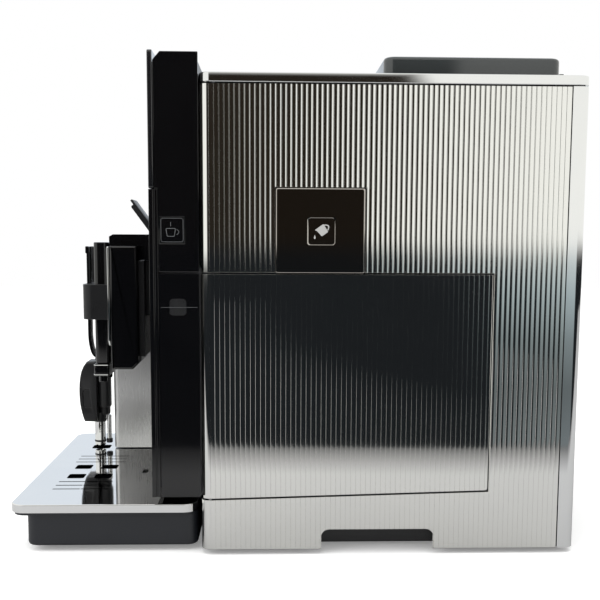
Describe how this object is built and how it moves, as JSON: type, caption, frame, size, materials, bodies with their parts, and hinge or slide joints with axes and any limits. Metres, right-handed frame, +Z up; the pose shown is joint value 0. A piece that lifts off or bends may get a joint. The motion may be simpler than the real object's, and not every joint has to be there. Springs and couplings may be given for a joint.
{
  "type": "bean-to-cup espresso machine",
  "caption": "Fully automatic bean-to-cup espresso machine with fluted polished steel sides, a black front column, sliding coffee spout, side water tank and drip tray.",
  "frame": {"origin": "on the standing surface, under the middle of the bounding box", "axes": "+Z up, -Y is the front, +X is the user's right-hand side with the tank door"},
  "size_m": [0.29, 0.468, 0.405],
  "materials": {
    "aluminium": "cast",
    "basin_grey": "satin slate",
    "brass": "machined",
    "brushed_steel": "vertically brushed",
    "burr_steel": "hardened",
    "circuit_green": "lacquered",
    "clear_tank": "clear",
    "dark_mirror": "dark polished",
    "display_glass": "gloss glass look",
    "flap_grey": "satin",
    "fluted_steel": "polished fluted steel",
    "frame_plastic": "matt",
    "gloss_black": "gloss",
    "polished_steel": "polished",
    "rubber": "matt",
    "satin_black": "satin",
    "silicone_hose": "translucent white",
    "smoked_lid": "gloss",
    "white_plastic": "matt",
    "zinc_steel": "zinc plated"
  },
  "bodies": {
    "housing": {"right_side_panel": "fluted_steel", "left_side_panel": "fluted_steel", "rear_trims": "polished_steel", "rear_panel": "satin_black", "power_inlet": "satin_black", "rear_screws": "zinc_steel", "base_pan": "satin_black", "rubber_feet": "rubber", "chassis_frame": "frame_plastic", "top_frame": "polished_steel", "cup_shelf": "brushed_steel", "hopper_right": "satin_black", "hopper_left": "satin_black", "preground_chute": "satin_black", "cheek_right": "gloss_black", "cheek_left": "gloss_black", "lower_cover_right": "gloss_black", "lower_cover_left": "gloss_black", "display_housing": "satin_black", "display_glass": "display_glass", "front_panel": "gloss_black", "steel_pillar": "brushed_steel", "port_housing": "gloss_black", "spout_hood": "gloss_black", "grinders": "aluminium", "brew_frame": "white_plastic", "brew_motor": "zinc_steel", "pump": "brass", "thermoblock": "aluminium", "control_board": "circuit_green", "hoses": "silicone_hose"},
    "drip_tray": {"drip_basin": "basin_grey", "drip_plate": "polished_steel", "grounds_container": "satin_black"},
    "float": {"drip_float": "satin_black"},
    "coffee_spout": {"spout_body": "gloss_black", "spout_carriage": "satin_black", "spout_cover": "gloss_black", "spout_bar": "gloss_black", "spout_band": "satin_black", "nozzle_block": "gloss_black"},
    "hood_flap": {"hood_flap": "flap_grey"},
    "hot_water_spout": {"hot_water_body": "satin_black", "water_tubes": "polished_steel"},
    "release_button": {"release_button": "satin_black"},
    "side_button": {"side_button": "gloss_black"},
    "tank": {"water_tank": "clear_tank", "tank_door": "fluted_steel"},
    "fill_flap": {"fill_flap": "dark_mirror"},
    "hopper_lid_right": {"hopper_lid_right": "smoked_lid"},
    "hopper_lid_left": {"hopper_lid_left": "smoked_lid"},
    "preground_lid": {"preground_lid": "smoked_lid"},
    "grind_knob_right": {"grind_knob_right": "satin_black"},
    "grind_knob_left": {"grind_knob_left": "satin_black"},
    "power_switch": {"power_switch": "satin_black"},
    "burr_right": {"burr_right": "burr_steel"},
    "burr_left": {"burr_left": "burr_steel"},
    "drive_screw": {"drive_screw": "zinc_steel"},
    "motor_pinion": {"motor_pinion": "brass"},
    "brew_chamber": {"brew_chamber": "white_plastic"}
  },
  "joints": [
    {"name": "drip_tray_slide", "type": "slide", "parent": "housing", "child": "drip_tray", "axis": [0, -1, 0], "range_m": [0, 0.155]},
    {"name": "float_rise", "type": "slide", "parent": "drip_tray", "child": "float", "axis": [0, 0, 1], "range_m": [0, 0.006]},
    {"name": "spout_height", "type": "slide", "parent": "housing", "child": "coffee_spout", "axis": [0, 0, 1], "range_m": [-0.06, 0]},
    {"name": "hood_flap_hinge", "type": "hinge", "parent": "housing", "child": "hood_flap", "pos_m": [0.0304, -0.1255, 0.2657], "axis": [1, 0, 0], "range_deg": [0, 53]},
    {"name": "hot_water_pull", "type": "slide", "parent": "housing", "child": "hot_water_spout", "axis": [0, -1, 0], "range_m": [0, 0.025]},
    {"name": "release_button_press", "type": "slide", "parent": "hot_water_spout", "child": "release_button", "axis": [-1, 0, 0], "range_m": [0, 0.0012], "stiffness_N_per_m": 500},
    {"name": "side_button_press", "type": "slide", "parent": "housing", "child": "side_button", "axis": [-1, 0, 0], "range_m": [0, 0.0015], "stiffness_N_per_m": 600},
    {"name": "tank_slide", "type": "slide", "parent": "housing", "child": "tank", "axis": [1, 0, 0], "range_m": [0, 0.12]},
    {"name": "fill_flap_hinge", "type": "hinge", "parent": "housing", "child": "fill_flap", "pos_m": [0.1442, 0.0205, 0.2327], "axis": [0, 1, 0], "range_deg": [0, 33]},
    {"name": "right_lid_hinge", "type": "hinge", "parent": "housing", "child": "hopper_lid_right", "pos_m": [0.076, 0.2168, 0.3916], "axis": [-1, 0, 0], "range_deg": [0, 80]},
    {"name": "left_lid_hinge", "type": "hinge", "parent": "housing", "child": "hopper_lid_left", "pos_m": [-0.076, 0.2168, 0.3916], "axis": [-1, 0, 0], "range_deg": [0, 80]},
    {"name": "preground_lid_hinge", "type": "hinge", "parent": "housing", "child": "preground_lid", "pos_m": [0, 0.135, 0.3902], "axis": [-1, 0, 0], "range_deg": [0, 85]},
    {"name": "right_grind_knob_turn", "type": "hinge", "parent": "housing", "child": "grind_knob_right", "pos_m": [0.076, 0.186, 0.3842], "axis": [0, 0, 1], "range_deg": [-100, 100]},
    {"name": "left_grind_knob_turn", "type": "hinge", "parent": "housing", "child": "grind_knob_left", "pos_m": [-0.076, 0.186, 0.3842], "axis": [0, 0, 1], "range_deg": [-100, 100]},
    {"name": "power_switch_rock", "type": "hinge", "parent": "housing", "child": "power_switch", "pos_m": [-0.052, 0.232, 0.062], "axis": [-1, 0, 0], "range_deg": [0, 8]},
    {"name": "right_burr_spin", "type": "hinge", "parent": "housing", "child": "burr_right", "pos_m": [0.076, 0.158, 0.236], "axis": [0, 0, 1], "continuous": true},
    {"name": "left_burr_spin", "type": "hinge", "parent": "housing", "child": "burr_left", "pos_m": [-0.076, 0.158, 0.236], "axis": [0, 0, 1], "continuous": true},
    {"name": "drive_screw_spin", "type": "hinge", "parent": "housing", "child": "drive_screw", "pos_m": [-0.034, 0.07, 0.2265], "axis": [0, 0, 1], "range_deg": [0, 3600]},
    {"name": "motor_pinion_spin", "type": "hinge", "parent": "housing", "child": "motor_pinion", "pos_m": [-0.066, 0.07, 0.2265], "axis": [0, 0, 1], "range_deg": [-10800, 0]},
    {"name": "brew_chamber_lift", "type": "slide", "parent": "housing", "child": "brew_chamber", "axis": [0, 0, 1], "range_m": [0, 0.06001]}
  ],
  "couplings": [
    {"joint": "motor_pinion_spin", "follows": "drive_screw_spin", "ratio": -3},
    {"joint": "brew_chamber_lift", "follows": "drive_screw_spin", "m_per_rad": 0.00095493}
  ]
}
